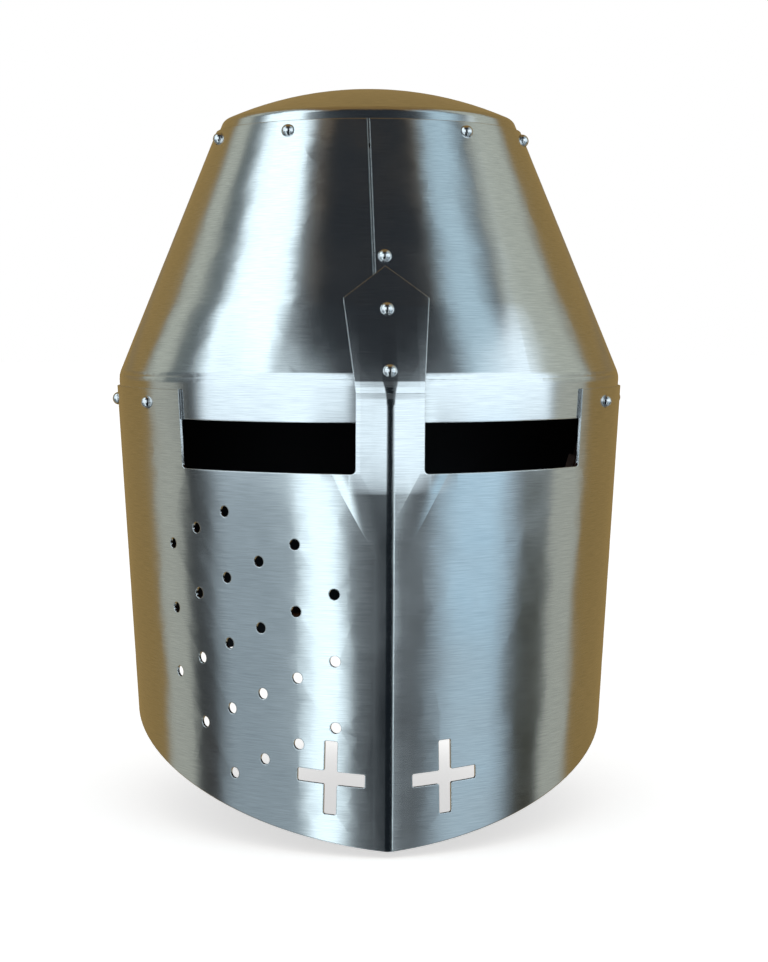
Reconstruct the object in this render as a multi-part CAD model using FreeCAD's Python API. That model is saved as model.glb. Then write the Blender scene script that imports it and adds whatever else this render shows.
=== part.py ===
import FreeCAD, Part
import math
import os
from collections import namedtuple

# Great helm: front is -Y, the wearer's left is +X, up is +Z, millimetres and degrees.
# The origin is on the helm's upright axis, level with the rivets round the waist.

V = FreeCAD.Vector
Arc = namedtuple("Arc", "cx cy radius start end")
ORIGIN = V(0, 0, 0)
X_AXIS = V(1, 0, 0)
Y_AXIS = V(0, 1, 0)
Z_AXIS = V(0, 0, 1)

# ---- steel sheet
sheet = 1.2                  # 18 gauge
lap_gap = 0.05               # air left between two lapped pieces
cone_sheet = 1.32            # the same sheet measured level across the sloping skull

# ---- barrel: the plan is two cheek arcs that meet in a keel, closed by a rear arc
half_width = 124.5           # outside, at the waist
cheek_radius = 154.0
keel_radius = 9.0
rear_turn = 35.0             # the cheek arc runs this far behind the side
flare = 0.00047              # growth of the plan per mm of height
barrel_top = 6.6
rim_front = 204.4            # depth of the lower rim below the waist: at the keel,
rim_quarter = 174.8          # half way back to the side,
rim_side = 152.4             # at the side,
rim_haunch = 142.2           # half way round the back,
rim_rear = 141.0             # and at the back
seam_y = 28.0                # front edge of each side seam
seam_lap = 22.0               # width of the face plate's lap over the back plate
seam_step = 2.6              # length of the joggle where the face plate steps out

# ---- eye slots, nasal bar and tab
brow = -7.0                  # lower edge of the skull, the slots' upper edge
slot_floor = -29.2
slot_end = 92.2              # outer end of each slot from the middle
slot_corner = 2.0
nasal_half = 15.0
tab_half = 19.2
tab_shoulder = 47.4
tab_tip = 61.9
tab_root = 6.0               # the tab leans back from here
tab_bend = 5.0               # half the height of that bend
tab_seat = 40.0              # and lies on the skull from here up
tab_keel_offset = 2.0        # what is left of the keel at the seat
tab_keel_radius = 60.0

# ---- skull and crown cap
skull_bend = 12.0
skull_bend_radius = 10.0
skull_front_turn = 52.0      # the skirt leaves the cheek arc this far in front of the side
crown_height = 131.0
crown_radius = 75.5
seam_edge = -4.5             # edge of the lap down the skull's front
seam_slit = 0.8
seam_under = 6.0             # the under layer reaches this far past the middle
seam_joggle = 11.0
cap_flange = 12.0
cap_shoulder = 5.4
cap_shoulder_radius = 5.0
cap_apex = 21.0              # height of the dome above the skull's rim
under_margin = 2.0

# ---- rivets
head_radius = 3.2
head_height = 2.8
shank_radius = 1.6
tail_radius = 2.8
tail_height = 1.3
tail_clearance = 0.3
bend_clearance = 1.2         # more, where a tail sits over the skull's bend
tail_taper = 0.8
washer_radius = 5.0
washer = 1.0
washer_air = 0.2             # a flat washer bridges the hollow of the band
cap_rivet_drop = 5.0
cap_rivet_bearings = (33.0, 73.0, 113.0, 153.0)   # each side of the seam
seam_rivet_height = 66.3
nasal_rivet_heights = (15.6, 42.5)
waist_front_bearings = (-63.0, 63.0)
waist_rear_bearings = (-150.0, -119.0, 119.0, 150.0, 180.0)
side_rivet_count = 4
side_rivet_margin = 20.0

# ---- breath holes, wearer's right cheek
breath_radius = 2.5
breath_first_bearing = 56.2
breath_column_step = 7.1
breath_first_drop = 64.4
breath_column_rise = 8.4
breath_row_step = 29.9
breath_rows = ((0, 2), (0, 3), (0, 4), (1, 4), (1, 4), (2, 4))

# ---- cross cut-outs
cross_bearing = 21.8
cross_drop = 164.7
cross_width = 31.6
cross_height = 33.5
cross_arm = 6.0
cross_tilt = 2.8
cross_corner = 0.8

# ---- liner
band_leather = 2.0
band_low = -5.0
band_high = 8.0
tongue_leather = 1.8
tongue_low = 2.0
tongue_power = 1.6           # how long the tongues hug the wall before they turn in
liner_crown = 103.0
liner_crown_radius = 28.0
liner_crown_back = -10.0     # the head sits this far forward of the axis
tongue_count = 8
tongue_slot = 6.0
side_slot = 26.0             # room for the chin strap between two tongues
side_slot_top = 60.0
lace_radius = 1.5
knot_radius = 2.6
knot_sweep = 9.0             # how far round the lace its knot reaches

# ---- chin strap, buckle and keeper
strap_width = 20.0
strap_end_width = 14.0
strap_leather = 2.2
strap_play = 0.5             # air between the strap's end and the liner band
soft_gap = 0.3               # air between leather and anything that moves against it
pivot_play = 0.05
strap_turn = 10.0            # below the pivot the strap slants inward
strap_slant = 16.0
strap_turn_radius = 30.0
strap_drop = 108.0
strap_corner_radius = 26.0
fold_start = 20.0            # places down the slanted run, from the turn
fold_swell = 36.0
heel_bar = 44.0
end_bar = 64.0
tip_start = 6.0
frame_wire = 1.5
frame_play = 1.0
roller_radius = 2.5
roller_air = 0.3
prong_radius = 1.1
prong_eye_radius = 2.7
prong_half_width = 2.2
prong_overhang = 2.5
prong_rest = 0.1
prong_slot_half = 2.6
strap_slot = (3.5, 13.5)     # slot for the prong, measured from the heel bar
strap_slot_half = 1.7
ramp_low = 2.0                # the strap climbs between these, from the end bar to the heel bar
ramp_high = 4.0
ramp_radius = 6.0
punch_radius = 1.5
punch_places = (28.0, 44.0, 60.0)
keeper_centre = 26.0
keeper_length = 8.0
keeper_leather = 1.8

skull_inset = sheet + lap_gap
liner_inset = skull_inset + cone_sheet + lap_gap
pivot_inset = liner_inset + band_leather + strap_play
strap_in = half_width - pivot_inset - strap_leather   # inner face of the strap at its pivots
bar_hole = frame_wire + pivot_play
FAR = 400.0


def polar(radius, angle):
    turn = math.radians(angle)
    return V(radius * math.cos(turn), radius * math.sin(turn), 0)


def growth(z):
    return 1 + flare * z


def scaled(arcs, scale, inset=0.0):
    return [Arc(a.cx * scale, a.cy * scale, a.radius * scale - inset, a.start, a.end) for a in arcs]


def blended(low, high, share):
    def mix(a, b):
        return a + (b - a) * share
    return [Arc(mix(a.cx, b.cx), mix(a.cy, b.cy), mix(a.radius, b.radius), a.start, a.end)
            for a, b in zip(low, high)]


def ring(arcs, z):
    edges = []
    for a in arcs:
        centre = V(a.cx, a.cy, z)
        points = [centre + polar(a.radius, angle) for angle in (a.start, (a.start + a.end) / 2, a.end)]
        edges.append(Part.Arc(*points).toShape())
    return Part.Wire(edges)


def loft(wires):
    return Part.makeLoft(wires, True, True)


def block(x0, x1, y0, y1, z0, z1):
    return Part.makeBox(x1 - x0, y1 - y0, z1 - z0, V(x0, y0, z0))


def export(name, shape):
    shape.exportStep(os.path.join("parts", name + ".step"))
    print(name, len(shape.Solids), round(shape.Volume, 1), shape.isValid())


# ---------------------------------------------------------------- plan outlines

def cheek_and_rear(front_end):
    """Right cheek, rear and left cheek arcs; the cheeks run forward to front_end degrees."""
    offset = cheek_radius - half_width
    rear_radius = cheek_radius - offset / math.cos(math.radians(rear_turn))
    rear_centre = (cheek_radius - rear_radius) * math.sin(math.radians(rear_turn))
    return [Arc(-offset, 0, cheek_radius, -front_end, rear_turn),
            Arc(0, rear_centre, rear_radius, rear_turn, 180 - rear_turn),
            Arc(offset, 0, cheek_radius, 180 - rear_turn, 180 + front_end)]


def keel_span(offset, radius, small_radius):
    return math.degrees(math.asin(offset / (radius - small_radius)))


def barrel_plan():
    offset = cheek_radius - half_width
    span = keel_span(offset, cheek_radius, keel_radius)
    depth = math.sqrt((cheek_radius - keel_radius) ** 2 - offset ** 2)
    keel = Arc(0, -depth, keel_radius, 270 - span, 270 + span)
    return cheek_and_rear(90 - span) + [keel]


def skirt_plan():
    offset = cheek_radius - half_width
    turn = math.radians(skull_front_turn)
    radius = cheek_radius - offset / math.cos(turn)
    centre = -(cheek_radius - radius) * math.sin(turn)
    front = Arc(0, centre, radius, 180 + skull_front_turn, 360 - skull_front_turn)
    return cheek_and_rear(skull_front_turn) + [front]


def round_plan(radius, y=0.0):
    return [Arc(0, y, radius, a.start, a.end) for a in skirt_plan()]


def barrel_arcs(z, inset):
    return scaled(barrel_plan(), growth(z), inset)


def skull_arcs(z, inset):
    low = scaled(skirt_plan(), growth(min(z, skull_bend)))
    high = round_plan(crown_radius + skull_inset)
    share = max(z - skull_bend, 0) / (crown_height - skull_bend)
    return scaled(blended(low, high, share), 1, inset)


def wall_spot(plan_at, bearing, z, inset):
    """Point and outward normal on a wall, at a bearing from the front, positive to +X."""
    angle = (bearing - 90) % 360

    def reach(height):
        for a in plan_at(height, inset):
            if (angle - a.start) % 360 <= a.end - a.start:
                return V(a.cx, a.cy, height) + polar(a.radius, angle)
    spot = reach(z)
    outward = polar(1, angle)
    slope = (reach(z + 1) - spot).dot(outward)
    return spot, V(outward.x, outward.y, -slope).normalize()


def wall(plan_at, heights, inset, thickness):
    """A closed wall between the first and last heights, open at both ends."""
    low, high = heights[0], heights[-1]
    outer = loft([ring(plan_at(z, inset), z) for z in heights])
    beyond = [low - under_margin] + list(heights[1:-1]) + [high + under_margin]
    inner = loft([ring(plan_at(z, inset + thickness), z) for z in beyond])
    return outer.cut(inner)


# ---------------------------------------------------------------- rivets

def placed(shape, spot, axis):
    moved = shape.copy()
    moved.Placement = FreeCAD.Placement(spot, FreeCAD.Rotation(Z_AXIS, axis))
    return moved


def rivet(grip):
    """Domed head above z=0, shank down through the grip, hammered tail below it."""
    bulge = (head_radius ** 2 + head_height ** 2) / (2 * head_height)
    half = math.asin(head_radius / bulge) / 2
    centre = head_height - bulge
    middle = V(bulge * math.sin(half), 0, centre + bulge * math.cos(half))
    dome = Part.Arc(V(0, 0, head_height), middle, V(head_radius, 0, 0)).toShape()
    tail_end = -grip - tail_height
    corners = [V(head_radius, 0, 0), V(shank_radius, 0, 0), V(shank_radius, 0, -grip),
               V(tail_radius, 0, -grip), V(tail_radius * tail_taper, 0, tail_end), V(0, 0, tail_end),
               V(0, 0, head_height)]
    outline = Part.Wire([dome] + Part.makePolygon(corners).Edges)
    return Part.Face(outline).revolve(ORIGIN, Z_AXIS, 360)


def rivets(spots, grip):
    return Part.makeCompound([placed(rivet(grip), spot, axis) for spot, axis in spots])


def drill(shape, spots, radius=shank_radius, depth=14.0):
    cylinder = Part.makeCylinder(radius, depth, V(0, 0, -depth / 2))
    for spot, axis in spots:
        shape = shape.cut(placed(cylinder, spot, axis))
    return shape


def washers(spots, below):
    disc = Part.makeCylinder(washer_radius, washer, V(0, 0, -below - washer))
    disc = disc.cut(Part.makeCylinder(shank_radius, washer, V(0, 0, -below - washer)))
    return Part.makeCompound([placed(disc, spot, axis) for spot, axis in spots])


def barrel_spots(bearings, z=0.0):
    return [wall_spot(barrel_arcs, bearing, z, 0) for bearing in bearings]


def waist_spots():
    return barrel_spots(waist_front_bearings + waist_rear_bearings)


def pivot_spots():
    """The two rivets that the chin strap swings on share one level axis."""
    clear_of_flare = half_width * growth(head_radius)
    return [(V(side * clear_of_flare, 0, 0), V(side, 0, 0)) for side in (-1, 1)]


def cap_spots():
    bearings = [side * bearing for side in (-1, 1) for bearing in cap_rivet_bearings]
    return [wall_spot(skull_arcs, b, crown_height - cap_rivet_drop, skull_inset) for b in bearings]


def side_spots(side):
    """Rivets down the middle of one side seam, on the face plate's raised lap."""
    lowest = -rim_side + side_rivet_margin
    highest = barrel_top - side_rivet_margin
    spots = []
    for i in range(side_rivet_count):
        z = highest + (lowest - highest) * i / (side_rivet_count - 1)
        arcs = barrel_arcs(z, -skull_inset)
        rise = math.degrees(math.asin((seam_y + seam_lap / 2) / arcs[0].radius))
        spots.append(wall_spot(barrel_arcs, side * (90 + rise), z, -skull_inset))
    return spots


# ---------------------------------------------------------------- skull and cap

def skull_solid(inset, low, high):
    """Solid under one face of the skull, its bend rounded."""
    solid = loft([ring(skull_arcs(z, inset), z) for z in (low, skull_bend, high)])
    bend = [e for e in solid.Edges if all(abs(v.Z - skull_bend) < 1e-4 for v in e.Vertexes)]
    return solid.makeFillet(skull_bend_radius - (inset - skull_inset), bend)


def skull():
    outside = skull_solid(skull_inset, brow, crown_height)
    inside = skull_solid(skull_inset + cone_sheet, brow - under_margin, crown_height + under_margin)
    shell = outside.cut(inside)
    slit = block(seam_edge - seam_slit, seam_edge, -FAR, 0, brow - 1, crown_height + 1)
    under_top = crown_height - cap_flange - under_margin
    under_face = skull_inset + cone_sheet + lap_gap
    under_outer = skull_solid(under_face, brow, crown_height)
    under_inner = skull_solid(under_face + cone_sheet, brow - under_margin, crown_height + under_margin)
    joggle_end = seam_edge - seam_slit
    under_box = block(-seam_joggle, seam_under, -FAR, 0, brow, under_top)
    under = under_outer.cut(under_inner).common(under_box)
    joggle_box = block(-seam_joggle, joggle_end, -FAR, 0, brow, under_top)
    joggle = outside.cut(under_inner).common(joggle_box)
    body = shell.cut(slit).fuse([joggle, under])
    body = drill(body, cap_spots() + seam_spot() + nasal_spots())
    return drill(body, waist_spots() + pivot_spots())


def dome(drop, inset):
    """Solid of revolution under the cap's dome, its shoulder rounded."""
    lean = (half_width - crown_radius) / (crown_height - skull_bend)
    base = crown_radius - inset
    shoulder = V(base - cap_shoulder * lean, 0, crown_height + cap_shoulder - drop)
    apex = V(0, 0, crown_height + cap_apex - drop)
    rise = apex.z - shoulder.z
    radius = (shoulder.x ** 2 + rise ** 2) / (2 * rise)
    half = math.asin(shoulder.x / radius) / 2
    middle = V(radius * math.sin(half), 0, apex.z - radius + radius * math.cos(half))
    crown = Part.Arc(apex, middle, shoulder).toShape()
    corners = [shoulder, V(base, 0, crown_height), V(0, 0, crown_height), apex]
    profile = Part.Face(Part.Wire([crown] + Part.makePolygon(corners).Edges))
    solid = profile.revolve(ORIGIN, Z_AXIS, 360)
    rim = [e for e in solid.Edges
           if e.Closed and abs(e.Vertexes[0].Z - shoulder.z) < 1e-4 and e.BoundBox.XLength > base]
    return solid.makeFillet(cap_shoulder_radius - drop, rim)


def crown_cap():
    outer_inset = cone_sheet + lap_gap
    bottom = crown_height - cap_flange
    outer = loft([ring(skull_arcs(z, skull_inset + outer_inset), z) for z in (bottom, crown_height)])
    inner_inset = outer_inset + cone_sheet
    levels = (bottom - under_margin, crown_height)
    inner = loft([ring(skull_arcs(z, skull_inset + inner_inset), z) for z in levels])
    outer = outer.fuse(dome(0.0, outer_inset))
    inner = inner.fuse(dome(sheet, inner_inset))
    return drill(outer.cut(inner).removeSplitter(), cap_spots())


# ---------------------------------------------------------------- barrel plates

def rim_trim():
    """Everything above the lower rim, a curve in the side view."""
    front_y = -cheek_radius
    rear_y = FAR
    front = Part.Arc(V(0, front_y, -rim_front), V(0, front_y / 2, -rim_quarter), V(0, 0, -rim_side))
    back_y = half_width
    back = Part.Arc(V(0, 0, -rim_side), V(0, back_y / 2, -rim_haunch), V(0, back_y, -rim_rear))
    corners = [V(0, back_y, -rim_rear), V(0, rear_y, -rim_rear), V(0, rear_y, FAR),
               V(0, -FAR, FAR), V(0, -FAR, -rim_front), V(0, front_y, -rim_front)]
    outline = Part.Wire([front.toShape(), back.toShape()] + Part.makePolygon(corners).Edges)
    solid = Part.Face(outline).extrude(V(2 * FAR, 0, 0))
    solid.translate(V(-FAR, 0, 0))
    return solid


def barrel_wall(inset, thickness):
    levels = (-rim_front - 2 * under_margin, barrel_top)
    return wall(barrel_arcs, levels, inset, thickness).common(rim_trim())


def eye_notch(side):
    """Cutter for one eye slot; its outer end is sawn square to the sheet."""
    wall_y = -math.sqrt(cheek_radius ** 2 - (slot_end + cheek_radius - half_width) ** 2)
    square = V((slot_end + cheek_radius - half_width) / cheek_radius, wall_y / cheek_radius, 0)
    end = V(slot_end, wall_y, 0)
    depth = half_width / 2
    corners = [V(nasal_half, -FAR, 0), V(nasal_half, -half_width / 4, 0), end - square * depth,
               end + square * FAR]
    corners = [V(side * c.x, c.y, slot_floor) for c in corners]
    notch = Part.Face(Part.makePolygon(corners + corners[:1])).extrude(V(0, 0, 2 * FAR))
    corners = [e for e in notch.Edges
               if all(abs(v.Z - slot_floor) < 1e-6 for v in e.Vertexes) and e.BoundBox.YLength > half_width]
    return notch.makeFillet(slot_corner, corners)


def tab_shape(z):
    """Cheek offset, centre, radius, keel radius and level thickness of the tab at height z."""
    def mix(a, b, share):
        return a + (b - a) * share
    climb = z - tab_root
    if climb >= tab_bend:
        share = climb
    else:
        share = max(climb + tab_bend, 0) ** 2 / (4 * tab_bend)
    share = min(share / (tab_seat - tab_root), 1)
    scale = growth(min(z, tab_root))
    offset = (cheek_radius - half_width) * scale
    front = skull_arcs(max(z, tab_seat), skull_inset - lap_gap - cone_sheet)[-1]
    lift = tab_keel_offset * (2 * tab_half + tab_keel_offset) / (2 * front.radius)
    return (mix(offset, tab_keel_offset, share), mix(0, front.cy - lift, share),
            mix(cheek_radius * scale, front.radius, share),
            mix(keel_radius, tab_keel_radius, share), mix(sheet, cone_sheet, share))


def tab_ring(z):
    offset, centre, radius, small, thickness = tab_shape(z)
    clip = tab_half + 2 * under_margin
    span = keel_span(offset, radius, small)
    depth = math.sqrt((radius - small) ** 2 - offset ** 2)
    end = math.degrees(math.acos((clip + offset) / radius))

    def face(inset):
        left = Arc(offset, centre, radius - inset, 180 + end, 270 - span)
        keel = Arc(0, centre - depth, small - inset, 270 - span, 270 + span)
        right = Arc(-offset, centre, radius - inset, 270 + span, 360 - end)
        return ring([left, keel, right], z)
    outer = face(0.0)
    inner = face(thickness)
    ends = [(outer.OrderedVertexes[i].Point, inner.OrderedVertexes[i].Point) for i in (0, -1)]
    lines = [Part.makeLine(a, b) for a, b in ends]
    return Part.Wire(Part.__sortEdges__(outer.Edges + inner.Edges + lines))


def nasal_tab():
    bend = [tab_root + tab_bend * share for share in (-1, -0.5, 0, 0.5, 1)]
    levels = bend + [tab_seat, tab_tip + under_margin]
    strip = loft([tab_ring(z) for z in levels])
    low = bend[0] - 1
    corners = [V(-nasal_half, -FAR, low), V(nasal_half, -FAR, low), V(nasal_half, -FAR, tab_root),
               V(tab_half, -FAR, tab_shoulder), V(0, -FAR, tab_tip), V(-tab_half, -FAR, tab_shoulder),
               V(-nasal_half, -FAR, tab_root)]
    outline = Part.Face(Part.makePolygon(corners + corners[:1])).extrude(V(0, FAR, 0))
    return strip.common(outline)


def tab_arcs(z, inset):
    """The tab's keel arc, for finding a place on its middle line."""
    offset, centre, radius, small, _ = tab_shape(z)
    span = keel_span(offset, radius, small)
    depth = math.sqrt((radius - small) ** 2 - offset ** 2)
    return [Arc(0, centre - depth, small - inset, 270 - span, 270 + span)]


def nasal_spots():
    return [wall_spot(tab_arcs, 0, z, 0) for z in nasal_rivet_heights]


def nasal_grips():
    """Each tab rivet reaches from the tab's face through both layers of the skull's lap, and
    its tail clears the lap where the skull bends below it."""
    grips = []
    for spot, axis in nasal_spots():
        depths = []
        for z in (spot.z, spot.z - 1.5 * tail_radius):
            inner = skull_arcs(z, skull_inset + 2 * cone_sheet + lap_gap)[-1]
            level = inner.cy - inner.radius - spot.y
            depths.append(level * abs(axis.y) + (spot.z - z) * axis.z)
        grips.append(max(depths) + bend_clearance)
    return grips


def seam_spot():
    return [wall_spot(skull_arcs, 0, seam_rivet_height, skull_inset)]


def breath_spots():
    spots = []
    for column, (first, last) in enumerate(breath_rows):
        bearing = -breath_first_bearing + breath_column_step * column
        top = -breath_first_drop + breath_column_rise * column
        for row in range(first, last + 1):
            spots.append(wall_spot(barrel_arcs, bearing, top - breath_row_step * row, 0))
    return spots


def cross_cutter(side):
    depth = 10 * sheet
    upright = block(-cross_arm / 2, cross_arm / 2, -cross_height / 2, cross_height / 2, -depth, depth)
    level = block(-cross_width / 2, cross_width / 2, -cross_arm / 2, cross_arm / 2, -depth, depth)
    cross = upright.fuse(level).removeSplitter()
    edges = [e for e in cross.Edges if e.BoundBox.ZLength > depth]
    cross = cross.makeFillet(cross_corner, edges)
    cross.rotate(ORIGIN, Z_AXIS, side * cross_tilt)
    cross.rotate(ORIGIN, X_AXIS, 90)
    cross.rotate(ORIGIN, Z_AXIS, side * cross_bearing)
    spot, _ = wall_spot(barrel_arcs, side * cross_bearing, -cross_drop, 0)
    cross.translate(spot)
    return cross


def face_plate():
    plate = barrel_wall(0.0, sheet).common(block(-FAR, FAR, -FAR, seam_y, -FAR, FAR))
    plate = plate.cut([eye_notch(-1), eye_notch(1)])
    tab_foot = tab_root - tab_bend
    plate = plate.cut(block(-nasal_half - 1, nasal_half + 1, -FAR, -half_width / 4, tab_foot, FAR))
    lap = barrel_wall(-skull_inset, sheet).common(block(-FAR, FAR, seam_y, seam_y + seam_lap, -FAR, FAR))
    step_box = block(-FAR, FAR, seam_y - seam_step, seam_y, -FAR, FAR)
    step = barrel_wall(-skull_inset, skull_inset + sheet).common(step_box)
    plate = plate.fuse([step, lap, nasal_tab()])
    plate = plate.cut([cross_cutter(-1), cross_cutter(1)])
    plate = drill(plate, breath_spots(), breath_radius)
    plate = drill(plate, barrel_spots(waist_front_bearings) + pivot_spots() + nasal_spots())
    return drill(plate, side_spots(-1) + side_spots(1))


def back_plate():
    front_edge = seam_y + lap_gap
    plate = barrel_wall(0.0, sheet).common(block(-FAR, FAR, front_edge, FAR, -FAR, FAR))
    plate = drill(plate, barrel_spots(waist_rear_bearings))
    return drill(plate, side_spots(-1) + side_spots(1))


# ---------------------------------------------------------------- liner

def liner_arcs(z, inset):
    low = scaled(skirt_plan(), growth(min(z, band_high)))
    high = round_plan(liner_crown_radius + liner_inset + band_leather, liner_crown_back)
    share = max(z - band_high, 0) / (liner_crown - band_high)
    share = share ** tongue_power
    return scaled(blended(low, high, share), 1, inset)


def liner_band():
    def plan(z, inset):
        return scaled(skirt_plan(), growth(z), inset)
    band = wall(plan, (band_low, band_high), liner_inset, band_leather)
    seam = block(-seam_joggle - 1, seam_under + 1, -FAR, 0, band_low - 1, band_high + 1)
    return drill(band.cut(seam), waist_spots() + pivot_spots())


def tongues():
    """The ring of tongues, hemmed at the top and slit from the crown to the band."""
    def level(z):
        face = liner_inset + band_leather + lap_gap
        spot = wall_spot(liner_arcs, 90, z, face)[1]
        steep = 1 / math.sqrt(1 - spot.z ** 2)
        return z, face, tongue_leather * steep
    steps = 9
    heights = [tongue_low] + [band_high + (liner_crown - band_high) * i / steps for i in range(steps + 1)]
    levels = [level(z) for z in heights]
    outer = loft([ring(liner_arcs(z, face), z) for z, face, _ in levels])
    levels[0] = (tongue_low - under_margin,) + levels[0][1:]
    inner = [ring(liner_arcs(z, face + thick), z) for z, face, thick in levels]
    shell = outer.cut(loft(inner))
    centre = V(0, liner_crown_back, liner_crown)
    hem = Part.makeTorus(liner_crown_radius, lace_radius + tongue_leather, centre)
    ring_of_tongues = shell.fuse(hem).cut(Part.makeTorus(liner_crown_radius, lace_radius, centre))
    slot = block(0, FAR, -tongue_slot / 2, tongue_slot / 2, -FAR, FAR)
    slot.translate(V(0, liner_crown_back, 0))
    slots = []
    for i in range(tongue_count):
        turned = slot.copy()
        turned.rotate(centre, Z_AXIS, 360 * i / tongue_count)
        slots.append(turned)
    foot = side_slot / 2
    head = tongue_slot / 2
    corners = [V(-FAR, -foot, -FAR), V(-FAR, foot, -FAR), V(-FAR, foot, tongue_low),
               V(-FAR, liner_crown_back + head, side_slot_top),
               V(-FAR, liner_crown_back - head, side_slot_top), V(-FAR, -foot, tongue_low)]
    wedge = Part.Face(Part.makePolygon(corners + corners[:1])).extrude(V(2 * FAR, 0, 0))
    pieces = ring_of_tongues.cut(slots + [wedge])
    pieces = drill(pieces, waist_spots(), washer_radius + soft_gap, 4 * washer_radius)

    def direction(piece):
        middle = piece.CenterOfMass
        return math.atan2(middle.y - liner_crown_back, middle.x)
    return sorted(pieces.Solids, key=direction)


def liner_lace():
    centre = V(0, liner_crown_back, liner_crown)
    lace = Part.makeTorus(liner_crown_radius, lace_radius, centre)
    knot = Part.makeTorus(liner_crown_radius, knot_radius, centre, Z_AXIS, 0, 360, knot_sweep)
    knot.rotate(centre, Z_AXIS, 90 - knot_sweep / 2)
    return lace.fuse(knot)


# ---------------------------------------------------------------- chin strap

def run_point(down, inward, side=1):
    """World point from a place down one slanted run and a height off its inner face."""
    slant = math.radians(strap_slant)
    x = strap_in - down * math.sin(slant) - inward * math.cos(slant)
    z = -strap_turn - down * math.cos(slant) + inward * math.sin(slant)
    return V(side * x, 0, z)


def run_placed(shape):
    """Stand a shape drawn as (down, across, inward) on the buckle's run."""
    slant = math.radians(strap_slant)
    s, c = math.sin(slant), math.cos(slant)
    start = run_point(0, 0)
    matrix = FreeCAD.Matrix(-s, 0, -c, start.x, 0, -1, 0, 0, -c, 0, s, start.z, 0, 0, 0, 1)
    moved = shape.copy()
    moved.Placement = FreeCAD.Placement(matrix)
    return moved


def left_of(direction):
    return V(-direction.z, 0, direction.x)


def side_line(points, radii, offset):
    """Edges parallel to a bent path in the XZ plane, its corners rounded."""
    ways = [(b - a).normalize() for a, b in zip(points, points[1:])]
    shifted = [points[0] + left_of(ways[0]) * offset]
    for point, before, after in zip(points[1:-1], ways, ways[1:]):
        normal = left_of(before) + left_of(after)
        shifted.append(point + normal * (offset / (1 + before.dot(after))))
    shifted.append(points[-1] + left_of(ways[-1]) * offset)
    edges = []
    start = shifted[0]
    for corner, radius, before, after in zip(shifted[1:-1], radii, ways, ways[1:]):
        turn = left_of(before).dot(after)
        bend = radius - offset if turn > 0 else radius + offset
        half = math.acos(max(-1, min(1, before.dot(after)))) / 2
        reach = bend * math.tan(half)
        entry = corner - before * reach
        leave = corner + after * reach
        inward = (after - before).normalize()
        middle = corner + inward * (bend / math.cos(half) - bend)
        edges.append(Part.makeLine(start, entry))
        edges.append(Part.Arc(entry, middle, leave).toShape())
        start = leave
    edges.append(Part.makeLine(start, shifted[-1]))
    return edges


def ribbon(points, radii):
    """A leather strap of even width and thickness along a bent path."""
    half = strap_leather / 2
    left = side_line(points, radii, half)
    right = side_line(points, radii, -half)
    ends = [Part.makeLine(left[i].Vertexes[j].Point, right[i].Vertexes[j].Point)
            for i, j in ((0, 0), (-1, -1))]
    face = Part.Face(Part.Wire(Part.__sortEdges__(left + right + ends)))
    solid = face.extrude(V(0, strap_width, 0))
    solid.translate(V(0, -strap_width / 2, 0))
    return solid


def strap_end_trim(side):
    """Keeps a strap's top end: narrow and round at the pivot, full width lower down."""
    half = strap_end_width / 2
    full = strap_width / 2 + 1
    corners = [V(0, -half, 0), V(0, -half, -strap_turn), V(0, -full, -2 * strap_turn), V(0, -full, -FAR),
               V(0, full, -FAR), V(0, full, -2 * strap_turn), V(0, half, -strap_turn), V(0, half, 0)]
    shape = Part.Face(Part.makePolygon(corners + corners[:1])).extrude(V(side * FAR, 0, 0))
    return shape.fuse(Part.makeCylinder(half, FAR, ORIGIN, V(side, 0, 0)))


def pivot_hole(side):
    return Part.makeCylinder(shank_radius + pivot_play, FAR, ORIGIN, V(side, 0, 0))


def strap_top(side):
    middle = strap_in + strap_leather / 2
    return [V(side * middle, 0, strap_end_width / 2), V(side * middle, 0, -strap_turn)]


def chin_strap_buckle_end():
    strap = ribbon(strap_top(1) + [run_point(heel_bar, -strap_leather / 2)], [strap_turn_radius])
    swell = frame_wire + strap_leather
    corners = [V(fold_start, 0, -strap_leather), V(fold_start, 0, strap_leather),
               V(fold_swell, 0, strap_leather), V(heel_bar, 0, swell), V(heel_bar, 0, -swell),
               V(fold_swell, 0, -strap_leather)]
    fold = Part.Face(Part.makePolygon(corners + corners[:1])).extrude(V(0, strap_width, 0))
    fold.translate(V(0, -strap_width / 2, 0))
    eye = Part.makeCylinder(swell, strap_width, V(heel_bar, -strap_width / 2, 0), Y_AXIS)
    bar = Part.makeCylinder(frame_wire, strap_width, V(heel_bar, -strap_width / 2, 0), Y_AXIS)
    slot = block(fold_swell, heel_bar + 2 * swell, -prong_slot_half, prong_slot_half, -FAR / 4, FAR / 4)
    strap = strap.fuse(run_placed(fold.fuse(eye))).removeSplitter()
    strap = strap.cut(run_placed(bar)).cut(run_placed(slot))
    return strap.common(strap_end_trim(1)).cut(pivot_hole(1))


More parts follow.
